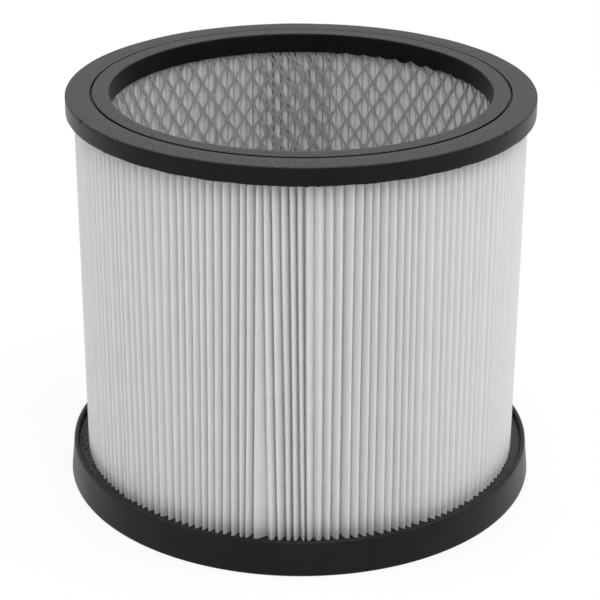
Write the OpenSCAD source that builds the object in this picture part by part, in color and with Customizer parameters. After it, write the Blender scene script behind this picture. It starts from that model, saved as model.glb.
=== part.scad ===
// Pleated cartridge filter for a wet and dry vacuum cleaner.
// A folded sheet of filter cloth stands round a rolled mesh core. Its upper ends are
// held by a moulded ring, and its lower ends stand in a pan that is filled with potting.
// Frame: the origin is the centre of the base, and +Z is up. Sizes are in millimetres.

/* [Overall] */
// Overall height, from the pan's base to the top ring's face
height = 178; // [120:1:260]

/* [Mesh core] */
// Inner radius of the rolled mesh core
core_r = 82; // [74:0.1:120]
// Thickness of the mesh sheet
core_t = 0.6; // [0.4:0.1:1.2]
// Length of the lap where the sheet's two ends overlap
lap_len = 38; // [20:1:60]
// Turn of the lap's middle from the back, towards +X
lap_turn = 2.8; // [-20:0.1:20]
// Diamond gaps in one row
gap_cols = 17; // [11:1:17]
// Rows of diamond gaps, each half a gap out of step with the next
gap_rows = 7; // [3:1:7]
// Width of a mesh strand
strand_w = 3; // [1.5:0.1:4]

/* [Pleats] */
// Number of pleats
pleat_count = 168; // [90:1:170]
// Depth of a pleat, from its inner fold to its outer fold
pleat_depth = 13.6; // [8:0.1:18]
// Thickness of the filter cloth
cloth_t = 0.7; // [0.4:0.05:0.8]
// How far the round of a fold reaches along the pleat
fold_round = 0.5; // [0.3:0.05:0.8]
// Clearance between the mesh lap and the inner folds
core_gap = 0.2; // [0.1:0.05:1]
// Turn of the glued seam from the front, towards -X
seam_turn = 9.6; // [0:0.1:40]

/* [Top ring] */
// Depth of the ring, from its face to its lower edge
ring_h = 8; // [7:0.1:14]
// Thickness of the ring's face above the ends of the cloth and the mesh
ring_face_t = 2.2; // [1.8:0.1:4]
// Wall outside the pleats
ring_wall = 2.8; // [1.5:0.1:6]
// Skin inside the mesh core
ring_skin = 0.6; // [0.6:0.1:1.5]
// How far the skin hangs below the ring's lower edge
skin_drop = 1; // [0.2:0.1:4]
// Clearance between the pleats and the ring's outer wall
ring_gap = 0.2; // [0.1:0.05:0.5]
// Width of the groove round the face
groove_w = 1; // [0.6:0.1:2]
// Depth of the groove
groove_d = 1.2; // [0.4:0.1:1.5]
// Distance from the ring's outer edge to the middle of the groove
groove_in = 11; // [6:0.1:12]
// Rise of the crown on the face outside the groove
crown = 0.2; // [0.05:0.05:0.5]
// Radius of the ring's outer edge
ring_edge = 0.8; // [0.3:0.1:1.5]

/* [Bottom pan] */
// Height of the pan's rim
pan_h = 15.7; // [12:0.1:24]
// Thickness of the pan's floor
pan_floor = 3; // [1.5:0.1:5]
// Thickness of the rim at its top
rim_t = 2.2; // [1.4:0.1:3]
// How much wider the rim is at the base than at its top
rim_flare = 1.4; // [0.2:0.1:3]
// Width of the moat between the pleats and the rim
moat_w = 3.9; // [2:0.1:8]
// Thickness of the pan's inner wall
hub_t = 1.5; // [1:0.1:3]
// Height of the pan's inner wall
hub_h = 13; // [8:0.1:20]
// Clearance between the inner wall and the mesh core
hub_gap = 0.2; // [0.1:0.05:0.5]
// Radius of the pan's bottom edges
pan_edge = 0.8; // [0.3:0.1:1.2]

/* [Potting] */
// Depth of the potting in the pan
potting_d = 9; // [5:0.1:11]

/* [Hidden] */

// Fineness of the round solids
$fn = 180;
// Steps of a round in a profile
round_steps = 4;
// How far a cutter runs past the solid that it cuts
past = 1;

// Radii, from the core outwards
lap_r = core_r + 2 * core_t;
fold_r = lap_r + core_gap;
tip_r = fold_r + pleat_depth;
bore_r = core_r - ring_skin;
ring_seat_r = tip_r + ring_gap;
ring_r = ring_seat_r + ring_wall;
hub_out_r = core_r - hub_gap;
hub_r = hub_out_r - hub_t;
rim_in_r = tip_r + moat_w;
rim_r = rim_in_r + rim_t;
base_r = rim_r + rim_flare;
groove_r = ring_r - groove_in;

// Levels, from the base upwards
potting_z = pan_floor + potting_d;
seat_z = height - ring_face_t;
ring_z = height - ring_h;
skin_z = ring_z - skin_drop;
gap_lo_z = max(hub_h, potting_z) + strand_w / 2;
gap_hi_z = skin_z - strand_w / 2;

// Angles of one pleat and one gap
pleat_step = 360 / pleat_count;
gap_step = 360 / gap_cols;

// Point at a radius and an angle
function polar(r, a) = [r * cos(a), r * sin(a)];

// Angle in degrees that a length takes up at a radius
function angle_of(len, r) = len / r * 180 / PI;

// Points of a round in a profile, centred on c, from angle a0 over a sweep
function round_of(c, r, a0, sweep = 90) =
    [for (i = [0 : round_steps]) c + polar(r, a0 + sweep * i / round_steps)];

// Round fold at angle a: its crest at radius r and its shoulders at radius r - reach
function fold(r, reach, a) =
    [polar(r - reach, a - angle_of(cloth_t, r)), polar(r, a), polar(r - reach, a + angle_of(cloth_t, r))];

// Outer face of the folded cloth: round at each tip, sharp at the foot of each valley
function outer_face() =
    [for (i = [0 : pleat_count - 1], p = concat(
        fold(tip_r, fold_round, i * pleat_step),
        [polar(fold_r + cloth_t, (i + 0.5) * pleat_step)])) p];

// Inner face of the folded cloth: sharp behind each tip, round at each inner fold
function inner_face() =
    [for (i = [0 : pleat_count - 1], p = concat(
        [polar(tip_r - cloth_t, i * pleat_step)],
        fold(fold_r, -fold_round, (i + 0.5) * pleat_step))) p];

// Angle of a pleat's outer flank, from the middle of its tip, at a share of the way in
function flank_angle(share) =
    angle_of(cloth_t, tip_r) + share * (pleat_step / 2 - angle_of(cloth_t, tip_r));

// Radius on that flank at the same share
function flank_radius(share) =
    tip_r - fold_round - share * (pleat_depth - fold_round - cloth_t);

// Second layer on one flank, where the ends of the cloth are lapped and glued
module seam_lap() {
    top_share = 0.04;
    foot_share = 0.5;
    layer = angle_of(cloth_t, tip_r);
    rotate(round((-90 - seam_turn) / pleat_step) * pleat_step)
        polygon([
            polar(flank_radius(foot_share), flank_angle(foot_share) - layer / 2),
            polar(flank_radius(top_share), flank_angle(top_share) - layer / 2),
            polar(flank_radius(top_share), flank_angle(top_share) + layer),
            polar(flank_radius(foot_share), flank_angle(foot_share) + layer)
        ]);
}

// Outer outline of the folded cloth with its lapped seam
module cloth_outline() {
    polygon(outer_face());
    seam_lap();
}

// Ring of a round wall
module tube(r_in, r_out, h) {
    difference() {
        cylinder(r = r_out, h = h);
        translate([0, 0, -past]) cylinder(r = r_in, h = h + 2 * past);
    }
}

// Filter cloth, folded into pleats round the core
module pleated_cloth() {
    color("whitesmoke")
        translate([0, 0, pan_floor])
            linear_extrude(height = seat_z - pan_floor)
                difference() {
                    cloth_outline();
                    polygon(inner_face());
                }
}

// One gap through the core's wall at +X: a diamond, or its upper or lower half
module gap(w, h, lower = true, upper = true) {
    rotate([90, 0, 90])
        linear_extrude(height = 4 * past, center = true)
            polygon(concat(
                [[-w / 2, 0]],
                lower ? [[0, -h / 2]] : [],
                [[w / 2, 0]],
                upper ? [[0, h / 2]] : []
            ));
}

// Rolled core of expanded sheet, with its two ends lapped at the back
module mesh_core() {
    row_h = (gap_hi_z - gap_lo_z) / (gap_rows - 1);
    pitch_w = 2 * core_r * sin(gap_step / 2);
    // A strand as wide as strand_w between two gaps, measured across the strand
    slope = atan2(row_h, pitch_w / 2);
    gap_w = pitch_w - strand_w / sin(slope);
    gap_h = 2 * row_h - strand_w / cos(slope);
    lap_angle = angle_of(lap_len, core_r);
    // Facets of the sheet's curve between two gaps
    $fn = 4 * gap_cols;
    color("darkgray")
        difference() {
            union() {
                translate([0, 0, pan_floor])
                    tube(core_r, core_r + core_t, seat_z - pan_floor);
                translate([0, 0, pan_floor])
                    rotate(90 - lap_turn - lap_angle / 2)
                        rotate_extrude(angle = lap_angle)
                            translate([core_r + core_t / 2, 0]) square([1.5 * core_t, seat_z - pan_floor]);
            }
            for (j = [0 : gap_rows - 1], i = [0 : gap_cols - 1])
                rotate((i + (j % 2) / 2) * gap_step)
                    translate([core_r + core_t, 0, gap_lo_z + j * row_h])
                        gap(gap_w, gap_h, lower = j > 0, upper = j < gap_rows - 1);
        }
}

// Moulded ring that holds the upper ends and seals on its face
module top_ring() {
    groove_in_r = groove_r - groove_w / 2;
    groove_out_r = groove_r + groove_w / 2;
    crown_r = (groove_out_r + ring_r) / 2;
    edge_c = [ring_r - ring_edge, height - crown - ring_edge];
    color("dimgray")
        rotate_extrude()
            polygon(concat(
                [[bore_r, skin_z], [core_r, skin_z], [core_r, seat_z], [ring_seat_r, seat_z]],
                [[ring_seat_r, ring_z], [ring_r, ring_z]],
                round_of(edge_c, ring_edge, 0),
                [[crown_r, height], [groove_out_r, height - crown]],
                [[groove_out_r, height - groove_d], [groove_in_r, height - groove_d]],
                [[groove_in_r, height]],
                round_of([bore_r + ring_skin, height - ring_skin], ring_skin, 90)
            ));
}

// Pan under the pleats: a flat floor, an inner wall and a flared rim
module bottom_pan() {
    lip = rim_t / 2;
    color("dimgray")
        rotate_extrude()
            polygon(concat(
                round_of([hub_r + pan_edge, pan_edge], pan_edge, 180),
                round_of([base_r - pan_edge, pan_edge], pan_edge, 270),
                round_of([rim_r - lip, pan_h - lip], lip, 0, 180),
                [[rim_in_r, pan_floor], [hub_out_r, pan_floor]],
                round_of([hub_out_r - hub_t / 2, hub_h - hub_t / 2], hub_t / 2, 0, 180)
            ));
}

// Potting poured round the feet of the pleats
module bottom_potting() {
    color("dimgray")
        translate([0, 0, pan_floor])
            linear_extrude(height = potting_d)
                difference() {
                    circle(r = rim_in_r);
                    cloth_outline();
                }
}

top_ring();
pleated_cloth();
mesh_core();
bottom_pan();
bottom_potting();
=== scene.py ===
"""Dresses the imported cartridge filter: folded cloth, expanded mesh core, moulded ring, pan and potting.

Everything is in metres in the part's own frame, with +Z up. Angles round the filter are in degrees
from the front (-Y), and grow towards +X. Profile sizes are written in millimetres and scaled by MM.
"""
import math

import bpy
import numpy as np
from mathutils import Matrix, Vector


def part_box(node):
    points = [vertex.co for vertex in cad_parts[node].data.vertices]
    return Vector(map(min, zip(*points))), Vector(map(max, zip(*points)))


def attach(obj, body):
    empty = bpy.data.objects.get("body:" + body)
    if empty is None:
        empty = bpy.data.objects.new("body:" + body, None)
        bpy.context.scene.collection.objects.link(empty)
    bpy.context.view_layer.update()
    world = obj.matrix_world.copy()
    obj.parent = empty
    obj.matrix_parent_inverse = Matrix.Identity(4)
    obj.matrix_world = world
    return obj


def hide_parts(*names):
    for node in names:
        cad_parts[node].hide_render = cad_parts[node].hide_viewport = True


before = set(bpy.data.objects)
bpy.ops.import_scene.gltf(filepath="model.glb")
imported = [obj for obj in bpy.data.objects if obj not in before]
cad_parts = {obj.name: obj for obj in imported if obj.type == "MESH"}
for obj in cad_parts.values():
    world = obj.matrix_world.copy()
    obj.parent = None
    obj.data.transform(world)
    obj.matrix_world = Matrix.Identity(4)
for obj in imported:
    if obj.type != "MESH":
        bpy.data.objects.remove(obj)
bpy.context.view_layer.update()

MM = 0.001

# Sizes of the part, in millimetres
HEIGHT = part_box("top_ring")[1][2] / MM
RING_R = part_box("top_ring")[1][0] / MM
RING_LOW = HEIGHT - 8.0
BORE_R = 81.4
CORE_R = 82.0
CORE_T = 0.5
FOLD_R = 83.4
TIP_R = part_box("pleated_cloth")[1][0] / MM
CLOTH_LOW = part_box("pleated_cloth")[0][2] / MM
CLOTH_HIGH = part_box("pleated_cloth")[1][2] / MM
PAN_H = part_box("bottom_pan")[1][2] / MM
BASE_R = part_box("bottom_pan")[1][0] / MM
RIM_IN_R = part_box("bottom_potting")[1][0] / MM
HUB_R = 80.3
HUB_OUT_R = 81.8
HUB_H = 13.0
POTTING_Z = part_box("bottom_potting")[1][2] / MM
GROOVE_R = RING_R - 11.0


# Shared helpers

def smooth(x, low, high):
    """Rises smoothly from 0 at low to 1 at high."""
    t = np.clip((np.asarray(x, float) - low) / (high - low), 0, 1)
    return t * t * (3 - 2 * t)


def wrapped(angle):
    """The angle in degrees, brought between -180 and 180."""
    return (np.asarray(angle, float) + 180) % 360 - 180


def bump_at(angle, centre, half_width):
    """A round bump of height 1 at an angle, which is 0 past half_width."""
    t = np.clip(np.abs(wrapped(np.asarray(angle, float) - centre)) / half_width, 0, 1)
    return (1 - t * t) ** 2


def waves(angle, seed, lowest, highest, count=9):
    """Smooth noise round the filter, about -1 to 1, of whole waves between lowest and highest."""
    rng = np.random.default_rng(seed)
    total = np.zeros_like(np.asarray(angle, float))
    for _ in range(count):
        n = int(rng.integers(lowest, highest + 1))
        total = total + rng.uniform(0.4, 1) * np.cos(np.radians(n * angle) + rng.uniform(0, 2 * math.pi))
    return total / (0.8 * math.sqrt(count))


def placed(r, angle, z):
    """Points in metres from radii, angles from the front and heights in millimetres."""
    a = np.radians(angle)
    r, a, z = np.broadcast_arrays(r, a, z)
    return np.stack([r * np.sin(a), -r * np.cos(a), z], axis=-1) * MM


def grid_faces(rows, cols, close_rows=False, close_cols=True):
    """Quads of a grid of rows by cols points."""
    i = np.arange(rows if close_rows else rows - 1)
    j = np.arange(cols if close_cols else cols - 1)
    i, j = np.meshgrid(i, j, indexing="ij")
    i1, j1 = (i + 1) % rows, (j + 1) % cols
    return np.stack([i * cols + j, i * cols + j1, i1 * cols + j1, i1 * cols + j], axis=-1).reshape(-1, 4)


def signed_volume(points, faces):
    """Volume inside a closed set of faces, negative if they face inwards."""
    total = 0.0
    for corners in (3, 4):
        of_kind = np.array([f for f in faces if len(f) == corners], int)
        for k in range(1, corners - 1 if len(of_kind) else 0):
            a, b, c = (points[of_kind[:, n]] for n in (0, k, k + 1))
            total += float(np.einsum("ij,ij->i", a, np.cross(b, c)).sum() / 6)
    return total


def make_piece(name, points, faces, material, sharp_deg=40):
    """A mesh object from points in metres and faces, facing outwards and shaded smooth."""
    points = np.asarray(points, float).reshape(-1, 3)
    faces = [tuple(f) for f in np.asarray(faces).tolist()] if isinstance(faces, np.ndarray) else faces
    if signed_volume(points, faces) < 0:
        faces = [f[::-1] for f in faces]
    mesh = bpy.data.meshes.new(name)
    mesh.from_pydata(points.tolist(), [], faces)
    mesh.polygons.foreach_set("use_smooth", [True] * len(mesh.polygons))
    mesh.set_sharp_from_angle(angle=math.radians(sharp_deg))
    mesh.materials.append(material)
    mesh.update()
    piece = bpy.data.objects.new(name, mesh)
    bpy.context.scene.collection.objects.link(piece)
    return piece


def arc(centre, radius, start, sweep, steps):
    """Profile points of an arc, in degrees."""
    a = np.radians(np.linspace(start, start + sweep, steps))
    return [(centre[0] + radius * math.cos(t), centre[1] + radius * math.sin(t)) for t in a]


def line(a, b, steps):
    """Profile points from a to b, without b."""
    t = np.linspace(0, 1, steps, endpoint=False)
    return [(a[0] + (b[0] - a[0]) * s, a[1] + (b[1] - a[1]) * s) for s in t]


# Materials

def new_material(name):
    """An empty node material with its output and a Principled shader."""
    material = bpy.data.materials.new(name)
    material.use_nodes = True
    nodes = material.node_tree.nodes
    nodes.clear()
    output = nodes.new("ShaderNodeOutputMaterial")
    shader = nodes.new("ShaderNodeBsdfPrincipled")
    material.node_tree.links.new(shader.outputs["BSDF"], output.inputs["Surface"])
    return material, nodes, material.node_tree.links, shader


def noise(nodes, links, scale, detail=3, roughness=0.6, vector=None):
    """A noise texture in object space; scale is in waves per metre."""
    if vector is None:
        vector = nodes.new("ShaderNodeTexCoord").outputs["Object"]
    texture = nodes.new("ShaderNodeTexNoise")
    texture.inputs["Scale"].default_value = scale
    texture.inputs["Detail"].default_value = detail
    texture.inputs["Roughness"].default_value = roughness
    links.new(vector, texture.inputs["Vector"])
    return texture.outputs["Fac"]


def ramp(nodes, links, factor, low, high, at=(0.0, 1.0)):
    """Maps a factor to a colour between low and high, given as greys or colours."""
    mixer = nodes.new("ShaderNodeValToRGB")
    for element, place, value in zip(mixer.color_ramp.elements, at, (low, high)):
        element.position = place
        element.color = (value, value, value, 1) if isinstance(value, float) else (*value, 1)
    links.new(factor, mixer.inputs["Fac"])
    return mixer.outputs["Color"]


def bump(nodes, links, height, distance, strength=1.0, normal=None):
    """A bump from a height factor; distance is in metres."""
    node = nodes.new("ShaderNodeBump")
    node.inputs["Distance"].default_value = distance
    node.inputs["Strength"].default_value = strength
    links.new(height, node.inputs["Height"])
    if normal is not None:
        links.new(normal, node.inputs["Normal"])
    return node.outputs["Normal"]


def mix_colour(nodes, links, factor, first, second):
    """Mixes two colours; first and second are sockets or greys."""
    node = nodes.new("ShaderNodeMix")
    node.data_type = "RGBA"
    if isinstance(factor, float):
        node.inputs[0].default_value = factor
    else:
        links.new(factor, node.inputs[0])
    for socket, value in ((node.inputs[6], first), (node.inputs[7], second)):
        if isinstance(value, float):
            socket.default_value = (value, value, value, 1)
        else:
            links.new(value, socket)
    return node.outputs[2]


def upward(nodes, links, low, high):
    """0 on walls and 1 on faces that look up, by the true normal in the part's own space."""
    geometry = nodes.new("ShaderNodeNewGeometry")
    split = nodes.new("ShaderNodeSeparateXYZ")
    links.new(geometry.outputs["Normal"], split.inputs[0])
    map_range = nodes.new("ShaderNodeMapRange")
    map_range.inputs["From Min"].default_value = low
    map_range.inputs["From Max"].default_value = high
    links.new(split.outputs["Z"], map_range.inputs["Value"])
    return map_range.outputs["Result"]


def ring_material():
    """Black moulded rubber: satin on the wall, and matt and speckled on the face, whose lighter colour is
    painted light and reflection from above.
    """
    material, nodes, links, shader = new_material("ring_rubber")
    speckle = noise(nodes, links, 1400, 2, 0.7)
    cloud = noise(nodes, links, 60, 4, 0.6)
    # Painted light: faces that look up get a lighter colour than the walls, standing in for the light and
    # reflection from above; the speckle in it is the rubber's grain
    face = ramp(nodes, links, speckle, 0.010, 0.065, (0.35, 0.65))
    wall = ramp(nodes, links, cloud, 0.003, 0.005, (0.35, 0.65))
    up = upward(nodes, links, 0.5, 0.95)
    # The mask by normal puts the painted light from above on the upward faces and leaves the walls dark
    links.new(mix_colour(nodes, links, up, wall, face), shader.inputs["Base Color"])
    links.new(ramp(nodes, links, up, 0.34, 0.62), shader.inputs["Roughness"])
    shader.inputs["IOR"].default_value = 1.24
    fine = bump(nodes, links, speckle, 0.00006, 0.6)
    links.new(bump(nodes, links, cloud, 0.0003, 0.25, fine), shader.inputs["Normal"])
    return material


def pan_material():
    """Satin black moulded plastic."""
    material, nodes, links, shader = new_material("pan_plastic")
    grain = noise(nodes, links, 1800, 2, 0.6)
    cloud = noise(nodes, links, 45, 3, 0.6)
    links.new(ramp(nodes, links, cloud, 0.004, 0.007, (0.35, 0.65)), shader.inputs["Base Color"])
    links.new(ramp(nodes, links, cloud, 0.30, 0.42, (0.3, 0.7)), shader.inputs["Roughness"])
    shader.inputs["IOR"].default_value = 1.25
    links.new(bump(nodes, links, grain, 0.00003, 0.5), shader.inputs["Normal"])
    return material


def potting_material():
    """Black potting: grainy where it foamed, smoother elsewhere."""
    material, nodes, links, shader = new_material("potting")
    grain = noise(nodes, links, 900, 4, 0.7)
    links.new(ramp(nodes, links, grain, 0.006, 0.03, (0.35, 0.75)), shader.inputs["Base Color"])
    shader.inputs["Roughness"].default_value = 0.5
    shader.inputs["IOR"].default_value = 1.4
    links.new(bump(nodes, links, grain, 0.0003, 0.7), shader.inputs["Normal"])
    return material


def cloth_material():
    """White nonwoven cloth with a faint cloudiness and fine fibres; some of the light passes through."""
    material, nodes, links, shader = new_material("filter_cloth")
    coords = nodes.new("ShaderNodeTexCoord")
    fibre = noise(nodes, links, 2600, 3, 0.7, coords.outputs["Object"])
    cloud = noise(nodes, links, 90, 3, 0.6, coords.outputs["Object"])
    fine = ramp(nodes, links, fibre, 0.89, 0.94, (0.35, 0.65))
    broad = ramp(nodes, links, cloud, 0.89, 0.93, (0.3, 0.7))
    colour = mix_colour(nodes, links, 0.5, fine, broad)
    links.new(colour, shader.inputs["Base Color"])
    shader.inputs["Roughness"].default_value = 0.95
    shader.inputs["Specular IOR Level"].default_value = 0.15
    normal = bump(nodes, links, fibre, 0.00005, 0.5)
    links.new(normal, shader.inputs["Normal"])
    through = nodes.new("ShaderNodeBsdfTranslucent")
    links.new(colour, through.inputs["Color"])
    links.new(normal, through.inputs["Normal"])
    both = nodes.new("ShaderNodeMixShader")
    both.inputs["Fac"].default_value = 0.42
    links.new(shader.outputs["BSDF"], both.inputs[1])
    links.new(through.outputs["BSDF"], both.inputs[2])
    output = next(n for n in nodes if n.type == "OUTPUT_MATERIAL")
    links.new(both.outputs["Shader"], output.inputs["Surface"])
    return material


def mesh_material():
    """Dull grey galvanised steel."""
    material, nodes, links, shader = new_material("mesh_steel")
    cloud = noise(nodes, links, 500, 3, 0.6)
    links.new(ramp(nodes, links, cloud, 0.34, 0.42, (0.3, 0.7)), shader.inputs["Base Color"])
    shader.inputs["Metallic"].default_value = 0.35
    shader.inputs["Roughness"].default_value = 0.55
    links.new(bump(nodes, links, cloud, 0.00008, 0.5), shader.inputs["Normal"])
    return material


# Camera: the photograph's viewing angle, on a square sensor; the photograph's frame is 600 by 600

CAMERA_AT = (-0.005457, -0.767588, 0.420498)
CAMERA_PITCH = 24.003
CAMERA_YAW = 0.398
CAMERA_ROLL = 0.245
CAMERA_LENS = 112.88


def add_camera():
    """A level camera turned by yaw, pitched down and rolled."""
    pitch, yaw, roll = (math.radians(v) for v in (CAMERA_PITCH, CAMERA_YAW, CAMERA_ROLL))
    ahead = Vector((math.sin(yaw) * math.cos(pitch), math.cos(yaw) * math.cos(pitch), -math.sin(pitch)))
    level = Vector((math.cos(yaw), -math.sin(yaw), 0))
    above = level.cross(ahead)
    right = level * math.cos(roll) + above * math.sin(roll)
    up = above * math.cos(roll) - level * math.sin(roll)
    data = bpy.data.cameras.new("camera")
    data.sensor_width = 36
    data.sensor_height = 36
    data.sensor_fit = "HORIZONTAL"
    data.lens = CAMERA_LENS
    camera = bpy.data.objects.new("camera", data)
    camera.matrix_world = Matrix.Translation(CAMERA_AT) @ Matrix((right, up, -ahead)).transposed().to_4x4()
    bpy.context.scene.collection.objects.link(camera)
    bpy.context.scene.camera = camera


add_camera()


# Stage and light

def shown_or_lit(nodes, links):
    """1 for camera, glossy and transmission rays, and 0 for the light that falls on the part."""
    path = nodes.new("ShaderNodeLightPath")
    first = nodes.new("ShaderNodeMath")
    first.operation = "MAXIMUM"
    links.new(path.outputs["Is Camera Ray"], first.inputs[0])
    links.new(path.outputs["Is Glossy Ray"], first.inputs[1])
    second = nodes.new("ShaderNodeMath")
    second.operation = "MAXIMUM"
    links.new(first.outputs[0], second.inputs[0])
    links.new(path.outputs["Is Transmission Ray"], second.inputs[1])
    return second.outputs[0]


def add_floor():
    """A plain white floor that keeps a faint shadow of the part."""
    material = bpy.data.materials.new("floor")
    material.use_nodes = True
    nodes, links = material.node_tree.nodes, material.node_tree.links
    nodes.clear()
    output = nodes.new("ShaderNodeOutputMaterial")
    plain = nodes.new("ShaderNodeBsdfDiffuse")
    plain.inputs["Color"].default_value = (0.8, 0.8, 0.8, 1)
    white = nodes.new("ShaderNodeEmission")
    white.inputs["Color"].default_value = (1, 1, 1, 1)
    share = nodes.new("ShaderNodeMath")
    share.operation = "MULTIPLY"
    share.inputs[1].default_value = 0.86
    links.new(shown_or_lit(nodes, links), share.inputs[0])
    both = nodes.new("ShaderNodeMixShader")
    links.new(share.outputs[0], both.inputs["Fac"])
    links.new(plain.outputs[0], both.inputs[1])
    links.new(white.outputs[0], both.inputs[2])
    links.new(both.outputs[0], output.inputs["Surface"])
    size = 6.0
    corners = [(-size, -size, 0), (size, -size, 0), (size, size, 0), (-size, size, 0)]
    mesh = bpy.data.meshes.new("floor")
    mesh.from_pydata(corners, [], [(0, 1, 2, 3)])
    mesh.materials.append(material)
    floor = bpy.data.objects.new("floor", mesh)
    bpy.context.scene.collection.objects.link(floor)


def add_world(strength):
    """A white surrounding; its light on the part is strength."""
    world = bpy.data.worlds.new("studio")
    bpy.context.scene.world = world
    world.use_nodes = True
    nodes, links = world.node_tree.nodes, world.node_tree.links
    background = nodes["Background"]
    background.inputs["Color"].default_value = (1, 1, 1, 1)
    level = nodes.new("ShaderNodeMapRange")
    level.inputs["To Min"].default_value = strength
    level.inputs["To Max"].default_value = 1.0
    links.new(shown_or_lit(nodes, links), level.inputs["Value"])
    links.new(level.outputs["Result"], background.inputs["Strength"])


def add_lamp(name, place, target, size, power):
    """A square soft lamp that looks at a target."""
    data = bpy.data.lights.new(name, "AREA")
    data.shape = "SQUARE"
    data.size = size
    data.energy = power
    lamp = bpy.data.objects.new(name, data)
    lamp.location = place
    lamp.rotation_euler = (Vector(target) - Vector(place)).to_track_quat("-Z", "Y").to_euler()
    bpy.context.scene.collection.objects.link(lamp)


add_floor()
add_world(0.52)
add_lamp("front", (0.25, -0.85, 1.55), (0, 0, 0.12), 1.1, 14)
add_lamp("right", (1.25, 0.05, 1.35), (0, 0, 0.12), 1.0, 11)
add_lamp("left", (-1.25, 0.05, 1.35), (0, 0, 0.12), 1.0, 9)
add_lamp("back", (0.0, 1.0, 1.45), (0, 0, 0.12), 1.0, 7)
bpy.context.scene.view_settings.view_transform = "Standard"

RING = ring_material()
PAN = pan_material()
POTTING = potting_material()
CLOTH = cloth_material()
STEEL = mesh_material()


# Pleated cloth

PLEATS = 168
SHEET_T = 0.45
SEAM_AT = -9.6
# Radius down to which the valleys stay open; below it neighbouring folds lie side by side
VALLEY_R = 93.4
# Roundness of the tips
TIP_SOFT = 0.45
# Half the width of the rounded inner folds that lie against the mesh
FOLD_HALF = 1.36
# Gaps between the tips to the right of the seam, as the front shows them, in degrees
FRONT_GAPS = (1.9, 2.3, 1.9, 1.9, 1.9, 2.9, 2.5, 2.4, 2.9, 2.2, 2.0, 1.8, 2.2, 2.2, 1.9, 1.9, 1.6)
# How far a tip leans to the right between top and bottom: angle from the front, lean in degrees
LEAN = ((-180, 0.0), (-90, 0.3), (-45, 0.0), (-30, -0.9), (-9.7, -1.0), (-9.5, 1.3), (-1.0, 1.4),
        (3.5, 0.3), (12, -0.1), (20, 0.6), (30, 1.2), (45, 1.3), (70, 0.6), (110, -0.5), (180, 0.0))
# Where the valley lies between two tips, as a share of the gap: the folds lie over, away from the seam
VALLEY_AT = ((-180, 0.5), (-165, 0.72), (-12, 0.72), (-4, 0.66), (2, 0.52), (8, 0.34), (14, 0.27),
             (165, 0.28), (180, 0.5))


def tip_angles():
    """Angles of the tips at the top, in order to the right from the seam."""
    rng = np.random.default_rng(11)
    right = SEAM_AT + 0.85 + np.concatenate([[0.0], np.cumsum(FRONT_GAPS)])
    rest = PLEATS - len(right)
    end = SEAM_AT - 0.9 + 360
    gaps = 1 + 0.14 * rng.standard_normal(rest).clip(-1.8, 1.8)
    gaps = gaps * (end - right[-1]) / gaps.sum()
    return np.concatenate([right, right[-1] + np.cumsum(gaps)])


def following(values, turn=360):
    """The value of the next pleat, with a full turn added after the last one."""
    after = np.roll(values, -1)
    after[-1] += turn
    return after


def preceding(values, turn=360):
    """The value of the pleat before, with a full turn taken off before the first one."""
    before = np.roll(values, 1)
    before[0] -= turn
    return before


def degrees_of(width, radius):
    """A width in millimetres at a radius, as an angle."""
    return np.degrees(width / radius)


def flank(tip, valley, tip_r, valley_r, shares):
    """Points from the tip down one flank, rounded at the tip; shares run from 0 at the tip to 1."""
    width = np.abs(np.radians(valley - tip)) * tip_r
    columns = []
    for share in shares:
        soft = np.sqrt((share * width) ** 2 + TIP_SOFT ** 2) - TIP_SOFT
        fall = soft / (np.sqrt(width ** 2 + TIP_SOFT ** 2) - TIP_SOFT)
        columns.append((tip_r - (tip_r - valley_r) * fall, tip + (valley - tip) * share))
    return columns


def outer_columns(at, tip_r, valley_r):
    """Outer face of the cloth at one level: for each pleat, from the fold before it to the one after."""
    share = np.interp(wrapped(at), *zip(*VALLEY_AT))
    valley = at + (following(at) - at) * share
    root = (at + following(at)) / 2
    slit = degrees_of(0.05, valley_r)
    left = flank(at, preceding(valley) + slit, tip_r, preceding(valley_r, 0), (1, 0.75, 0.5, 0.3, 0.14))
    right = flank(at, valley - slit, tip_r, valley_r, (0.14, 0.3, 0.5, 0.75, 1))
    return [(FOLD_R + SHEET_T + 0 * at, preceding(root))] + left + [(tip_r, at)] + right


def inner_columns(at, tip_r):
    """Inner face of the cloth at one level, whose wide rounded folds lie against the mesh."""
    after = (at + following(at)) / 2
    before = preceding(after)
    half = degrees_of(FOLD_HALF, FOLD_R)
    wall = degrees_of(FOLD_HALF + 0.04, FOLD_R)
    deep = tip_r - SHEET_T - 0.15
    low, high = FOLD_R + 0.6, FOLD_R + 7
    return [
        (FOLD_R + 0 * at, before), (FOLD_R + 0.12 + 0 * at, before + half * 0.7),
        (low + 0 * at, before + wall), (high + 0 * at, before + wall), (deep, at),
        (high + 0 * at, after - wall), (low + 0 * at, after - wall),
        (FOLD_R + 0.12 + 0 * at, after - half * 0.7),
    ]


def level_points(columns, z):
    """Points of one level, in order round the filter."""
    r = np.stack([c[0] for c in columns], axis=1).ravel()
    a = np.stack([c[1] for c in columns], axis=1).ravel()
    return placed(r, a, z)


def bridge(outer_row, outer_per, inner_row, inner_per):
    """Triangles that close an end of the cloth between its outer and its inner face."""
    faces = []
    outer_count, inner_count = outer_per * PLEATS, inner_per * PLEATS
    for pleat in range(PLEATS):
        i = j = 0
        while i < outer_per or j < inner_per:
            a = outer_row + (pleat * outer_per + i) % outer_count
            b = inner_row + (pleat * inner_per + j) % inner_count
            if (i + 1) / outer_per <= (j + 1) / inner_per:
                i += 1
                faces.append((a, outer_row + (pleat * outer_per + i) % outer_count, b))
            else:
                j += 1
                faces.append((a, inner_row + (pleat * inner_per + j) % inner_count, b))
    return faces


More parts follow.
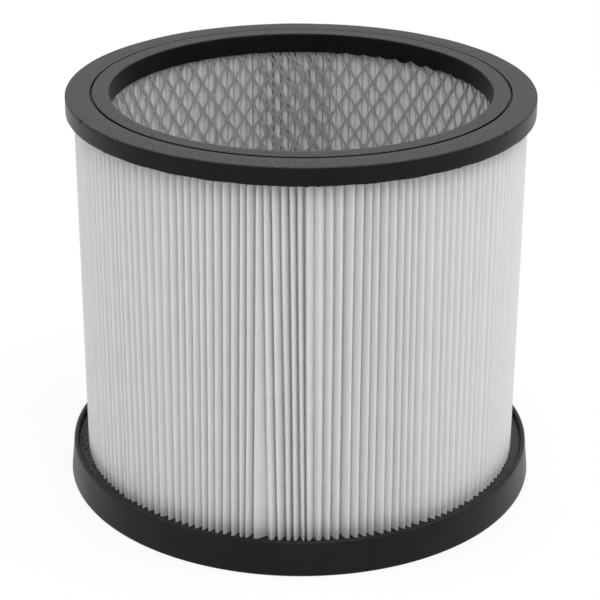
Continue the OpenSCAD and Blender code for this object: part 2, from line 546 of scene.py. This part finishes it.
def pleated_cloth():
    """The folded cloth, a closed sheet whose ends stand inside the ring and the potting."""
    rng = np.random.default_rng(23)
    tips = tip_angles()
    spread = rng.standard_normal((6, PLEATS)).clip(-2, 2)
    lean = np.interp(wrapped(tips), *zip(*LEAN)) + 0.12 * spread[0]
    levels = np.concatenate([
        [CLOTH_LOW, POTTING_Z - 1], POTTING_Z + np.array([0.5, 2, 4, 7, 11]), np.linspace(34, 156, 9),
        RING_LOW - np.array([8, 5, 3.2, 1.8, 0.6]), [RING_LOW + 1, CLOTH_HIGH],
    ])
    outer, inner = [], []
    for z in levels:
        down = float(np.clip((RING_LOW - z) / (RING_LOW - POTTING_Z), 0, 1))
        bow = math.sin(math.pi * down)
        wave = math.sin(2 * math.pi * down)
        at = tips + lean * down + 0.10 * spread[1] * bow + 0.05 * spread[2] * wave
        held_up = float(smooth(z, RING_LOW - 3.6, RING_LOW))
        held_down = float(smooth(z, POTTING_Z + 6, POTTING_Z))
        tip_r = TIP_R - 0.25 + 0.10 * spread[3] * bow - 0.9 * held_up - 0.2
        valley_r = VALLEY_R + 0.35 * spread[4] + 0.2 * spread[5] * wave - 0.6 * held_down
        outer.append(level_points(outer_columns(at, tip_r, valley_r), z))
        inner.append(level_points(inner_columns(at, tip_r), z))
    outer, inner = np.array(outer), np.array(inner)
    rows, outer_per, inner_per = len(levels), outer.shape[1] // PLEATS, inner.shape[1] // PLEATS
    start = outer.shape[0] * outer.shape[1]
    last_outer = start - outer.shape[1]
    last_inner = start + (rows - 1) * inner.shape[1]
    low_end = bridge(0, outer_per, start, inner_per)
    high_end = bridge(last_outer, outer_per, last_inner, inner_per)
    quads = np.concatenate([grid_faces(rows, outer.shape[1]),
                            grid_faces(rows, inner.shape[1])[:, ::-1] + start])
    faces = quads.tolist() + [f[::-1] for f in low_end] + high_end
    points = np.concatenate([outer.reshape(-1, 3), inner.reshape(-1, 3)])
    return make_piece("filter_cloth", points, faces, CLOTH, 60)


cloth = pleated_cloth()
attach(cloth, "root")
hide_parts("pleated_cloth")


# Expanded mesh core

CELL_DEG = 5.82
CELL_H = 13.15
STRAND_W = 0.95
LAP_FROM = 180 - 10.5
LAP_TO = 180 + 16.1


def mesh_core():
    """Zigzag strands side by side, joined where they touch, as the slit and stretched sheet has them."""
    span = 360 + LAP_TO - LAP_FROM
    strands = int(span / CELL_DEG * 2)
    per_half = 5
    low, high = 3.2, HEIGHT - 2.6
    halves = int((high - low) / (CELL_H / 2)) + 2
    points, faces = [], []
    count = 0
    for s in range(strands):
        t = np.arange(halves * per_half + 1) / per_half
        phase = np.abs((t + s) % 2 - 1)
        # Strand centre: swings a quarter of a cell each way, flat where it is joined
        swing = np.clip((phase - 0.5) * 1.28, -0.5, 0.5)
        reach = CELL_DEG / 2 - math.degrees(STRAND_W / CORE_R)
        from_start = (s + 0.5) * CELL_DEG / 2 + swing * reach
        angle = LAP_FROM + from_start
        share = from_start / span
        layer = smooth(share, 0.30, 0.70)
        z = 166.9 - CELL_H / 2 * (halves - 0.5) + t * CELL_H / 2 + 1.2 - 0.0057 * from_start
        z = z + 0.6 * np.sin(np.radians(180 - angle))
        keep = (z > low) & (z < high)
        if keep.sum() < 3:
            continue
        angle, z, layer, slope = angle[keep], z[keep], layer[keep], np.gradient(angle, z)[keep]
        tilt = np.clip(slope * 1.2, -1, 1) * 0.16
        mid = CORE_R + CORE_T / 2 + 0.65 * layer
        half_w = np.degrees(STRAND_W / 2 / CORE_R) * np.sqrt(1 + (slope * CORE_R * math.pi / 180) ** 2)
        section = []
        for side, depth in ((-1, -1), (1, -1), (1, 1), (-1, 1)):
            r = mid + depth * CORE_T / 2 + side * tilt
            section.append(placed(r, angle + side * half_w, z))
        ring = np.stack(section, axis=1)
        n = len(ring)
        points.append(ring.reshape(-1, 3))
        faces.append(grid_faces(n, 4) + count)
        faces.append(np.array([[0, 1, 2, 3]]) + count)
        faces.append(np.array([[3, 2, 1, 0]]) + count + 4 * (n - 1))
        count += 4 * n
    return make_piece("mesh_core_strands", np.concatenate(points), np.concatenate(faces), STEEL, 50)


core = mesh_core()
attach(core, "root")
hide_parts("mesh_core")


# Moulded parts turned round the axis

def turned(name, profile, segments, material, shape=None, sharp_deg=35):
    """A closed profile of (radius, height) in millimetres turned round the axis.

    shape may move the points: it takes and returns radii and heights for each angle.
    """
    profile = np.array(profile)
    angle = np.arange(segments) * 360 / segments
    r = np.repeat(profile[:, :1], segments, axis=1)
    z = np.repeat(profile[:, 1:], segments, axis=1)
    if shape:
        r, z = shape(r, z, wrapped(angle)[None, :])
    points = placed(r, angle[None, :], z)
    return make_piece(name, points, grid_faces(len(profile), segments, close_rows=True), material, sharp_deg)


def ring_profile():
    """Section of the top ring, from the lower edge of its skin round to the mesh."""
    edge, lip = 0.8, 0.6
    low = RING_LOW
    return (
        line((BORE_R, low - 0.9), (BORE_R, HEIGHT - lip), 8)
        + arc((BORE_R + lip, HEIGHT - lip), lip, 180, -90, 5)
        + line((BORE_R + 2, HEIGHT), (GROOVE_R - 0.62, HEIGHT), 4)
        + arc((GROOVE_R - 0.62, HEIGHT - 0.12), 0.12, 90, -90, 3)
        + line((GROOVE_R - 0.48, HEIGHT - 1.1), (GROOVE_R + 0.48, HEIGHT - 1.1), 2)
        + arc((GROOVE_R + 0.62, HEIGHT - 0.27), 0.12, 180, -90, 3)
        + line((GROOVE_R + 1.4, HEIGHT - 0.16), (GROOVE_R + 4.2, HEIGHT), 4)
        + line((GROOVE_R + 4.6, HEIGHT - 0.02), (RING_R - edge, HEIGHT - 0.2), 5)
        + arc((RING_R - edge, HEIGHT - 0.2 - edge), edge, 90, -90, 6)
        + line((RING_R, HEIGHT - 2), (RING_R, low + 0.5), 6)
        + arc((RING_R - 0.5, low + 0.5), 0.5, 0, -90, 4)
        + line((RING_R - 1.4, low), (TIP_R + 0.2, low + 0.3), 3)
        + line((TIP_R, low + 0.9), (FOLD_R + 0.5, low + 1.3), 6)
        + line((CORE_R + 0.9, low + 0.8), (CORE_R + 0.3, low - 0.9), 3)
    )


NICKS = ((-63.1, 0.55, 0.5), (53.9, 0.5, 0.45), (44.7, 0.4, 0.3))
DRIPS = ((0.9, 0.7, 0.35), (3.5, 0.6, 0.3), (-52.0, 0.7, 0.3), (38.0, 0.6, 0.3))


def ring_shape(r, z, angle):
    """The small faults of the moulding: nicks in the edge, drips, and a scalloped lower edge inside."""
    top_edge = (r > RING_R - 1.2) & (z > HEIGHT - 1.4)
    for centre, half, depth in NICKS:
        dip = bump_at(angle, centre, half) * depth
        r = r - np.where(top_edge, dip, 0)
        z = z - np.where(top_edge, dip * 0.8, 0)
    lower = (r > RING_R - 1.5) & (z < RING_LOW + 0.8)
    sag = 0.10 * waves(angle, 3, 2, 40) + 0.35 * smooth(angle, 30, 80) * smooth(-angle, -130, -95)
    for centre, half, depth in DRIPS:
        sag = sag + bump_at(angle, centre, half) * depth
    z = z - np.where(lower, sag, 0)
    inner = (r < CORE_R + 0.4) & (z < RING_LOW)
    right = smooth(wrapped(angle - 180), 8, -40)
    scallop = np.abs(np.cos(np.radians((angle - 22.2) / CELL_DEG * 180)))
    hang = 0.75 * right * (1 - scallop ** 0.7 * 1.5) + 0.25 * waves(angle, 5, 20, 60) * (0.3 + right)
    z = z + np.where(inner, hang, 0)
    z = z + np.where((r > GROOVE_R + 1) & (z > HEIGHT - 0.5), 0.04 * waves(angle, 8, 3, 30), 0)
    return np.minimum(r, RING_R), np.minimum(z, HEIGHT)


ring = turned("top_ring_moulding", ring_profile(), 720, RING, ring_shape)
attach(ring, "root")
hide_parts("top_ring")


def pan_profile():
    """Section of the pan: inner wall, floor, flared rim with a round lip."""
    edge, lip = 0.8, 1.1
    rim_r = RIM_IN_R + 2 * lip
    return (
        arc((HUB_R + edge, edge), edge, 180, 90, 4)
        + line((HUB_R + 3, 0), (BASE_R - 3, 0), 4)
        + arc((BASE_R - edge, edge), edge, 270, 90, 5)
        + line((BASE_R - 0.05, 1.5), (rim_r + 0.1, PAN_H - lip - 1.5), 8)
        + arc((rim_r - lip, PAN_H - lip), lip, 0, 180, 9)
        + line((RIM_IN_R, PAN_H - lip - 1), (RIM_IN_R, 3), 4)
        + line((RIM_IN_R - 1, 3), (HUB_OUT_R, 3), 3)
        + line((HUB_OUT_R, 4), (HUB_OUT_R, HUB_H - 0.75), 3)
        + arc((HUB_OUT_R - 0.75, HUB_H - 0.75), 0.75, 0, 180, 5)
    )


pan = turned("bottom_pan_moulding", pan_profile(), 480, PAN)
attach(pan, "root")
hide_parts("bottom_pan")


def potting_ring():
    """Potting whose surface creeps up the rim and the valleys, grainy on the left."""
    segments = 1440
    radii = np.concatenate([[FOLD_R - 0.15], np.linspace(FOLD_R, RIM_IN_R - 0.02, 36)])
    angle = np.arange(segments) * 360 / segments
    rng = np.random.default_rng(31)
    grain = rng.standard_normal((len(radii), segments))
    grain = (grain + np.roll(grain, 1, axis=1) + np.roll(grain, -1, axis=1)) / 3
    grainy = 0.10 + 0.22 * smooth(-wrapped(angle), 20, 70)
    r = radii[:, None]
    creep = 0.5 * np.exp(-(RIM_IN_R - r) / 0.5) + 0.7 * smooth(TIP_R - r, 0.5, 6)
    z = POTTING_Z + creep + grain * grainy[None, :] + 0.12 * waves(angle, 9, 3, 60)[None, :]
    z[0] = POTTING_Z
    top = placed(r, angle[None, :], z)
    low = placed(radii[[-1, 0]][:, None], angle[None, :], np.full((2, 1), 3.0))
    points = np.concatenate([top, low])
    return make_piece("potting_bed", points, grid_faces(len(points), segments, close_rows=True), POTTING, 60)


potting = potting_ring()
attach(potting, "root")
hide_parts("bottom_potting")
